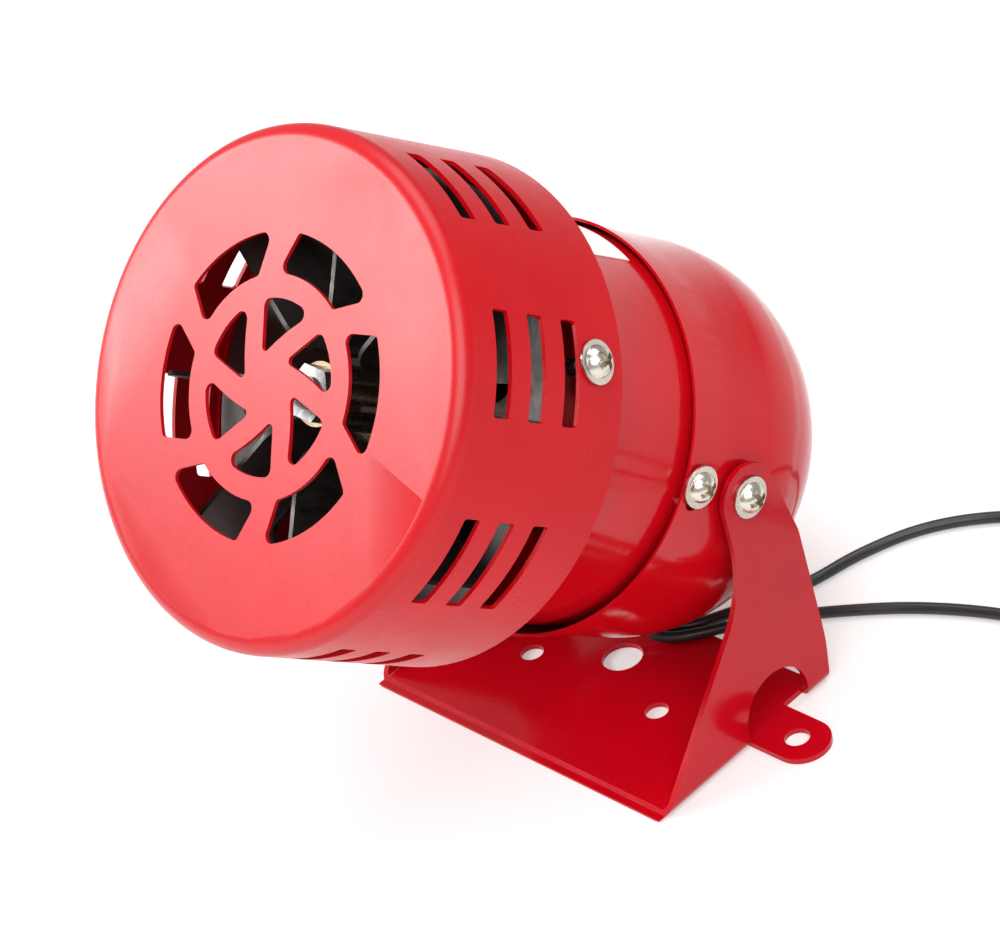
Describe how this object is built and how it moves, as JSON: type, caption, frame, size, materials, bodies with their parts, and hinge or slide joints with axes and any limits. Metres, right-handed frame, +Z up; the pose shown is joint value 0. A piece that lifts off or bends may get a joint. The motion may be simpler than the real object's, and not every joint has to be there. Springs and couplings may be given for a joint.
{
  "type": "alarm siren",
  "caption": "Small motor-driven alarm siren: a slotted drum head with a swirl grille and domed motor case, tilting on a folded steel bracket with fixing ears and flying leads.",
  "frame": {"origin": "centre of the bracket's middle fixing hole, on the underside of the base", "axes": "+Z up from the mounting surface, +X across from arm to arm, +Y towards the domed rear; the grille looks towards -Y and up"},
  "size_m": [0.1545, 0.1415, 0.1204],
  "materials": {
    "bracket_enamel": "gloss",
    "shell_enamel": "gloss",
    "label_film": "satin",
    "rubber_black": "matt",
    "lead_insulation": "satin",
    "tinned_copper": "satin",
    "copper": "satin",
    "brass": "satin",
    "bronze": "satin",
    "enamelled_wire": "gloss",
    "lamination_steel": "satin",
    "bright_steel": "satin",
    "impeller_steel": "satin",
    "nickel": "gloss",
    "carbon": "matt",
    "phenolic": "satin"
  },
  "bodies": {
    "bracket": {"bracket": "bracket_enamel"},
    "siren_head": {"brush_cap_left": "brass", "brush_cap_right": "brass", "brush_holder_left": "brass", "brush_holder_right": "brass", "brush_plate": "phenolic", "brush_plate_rivets": "bright_steel", "brush_spring_left": "bright_steel", "brush_spring_right": "bright_steel", "brush_wire_left": "copper", "brush_wire_right": "copper", "core_spacers": "bright_steel", "cover_screws": "nickel", "dome_screws": "nickel", "field_coil_left": "enamelled_wire", "field_coil_right": "enamelled_wire", "field_core": "lamination_steel", "front_bearing": "bronze", "front_bearing_plate": "bright_steel", "front_cover": "shell_enamel", "inner_lead_a": "lead_insulation", "inner_lead_b": "lead_insulation", "lead_a": "lead_insulation", "lead_a_tip": "tinned_copper", "lead_b": "lead_insulation", "lead_b_tip": "tinned_copper", "lead_grommet": "rubber_black", "mid_housing": "shell_enamel", "pivot_nuts": "bright_steel", "pivot_screws": "nickel", "pivot_washers": "nickel", "plate_screws": "bright_steel", "rating_label": "label_film", "rear_bearing": "bronze", "rear_bearing_bar": "bright_steel", "rear_dome": "shell_enamel", "through_bolt_nuts": "bright_steel", "through_bolts": "bright_steel"},
    "rotor": {"rotor_shaft": "bright_steel", "armature_core": "lamination_steel", "armature_windings": "enamelled_wire", "commutator": "copper", "thrust_washers": "bright_steel", "impeller": "impeller_steel", "impeller_hub": "brass", "impeller_nut": "bright_steel"},
    "brush_block_left": {"brush_left": "carbon"},
    "brush_block_right": {"brush_right": "carbon"}
  },
  "joints": [
    {"name": "head_tilt", "type": "hinge", "parent": "bracket", "child": "siren_head", "pos_m": [0, 0.0071, 0.0432], "axis": [-1, 0, 0], "range_deg": [-40, 50], "deforming": ["lead_a", "lead_a_tip", "lead_b", "lead_b_tip"]},
    {"name": "rotor_spin", "type": "hinge", "parent": "siren_head", "child": "rotor", "pos_m": [0, -0.0259, 0.07154], "axis": [0, 0.766, -0.6428], "continuous": true},
    {"name": "brush_left_slide", "type": "slide", "parent": "siren_head", "child": "brush_block_left", "axis": [-1, 0, 0], "range_m": [0, 0.003], "stiffness_N_per_m": 100, "springref_m": -0.004, "deforming": ["brush_spring_left"]},
    {"name": "brush_right_slide", "type": "slide", "parent": "siren_head", "child": "brush_block_right", "axis": [1, 0, 0], "range_m": [0, 0.003], "stiffness_N_per_m": 100, "springref_m": -0.004, "deforming": ["brush_spring_right"]}
  ]
}
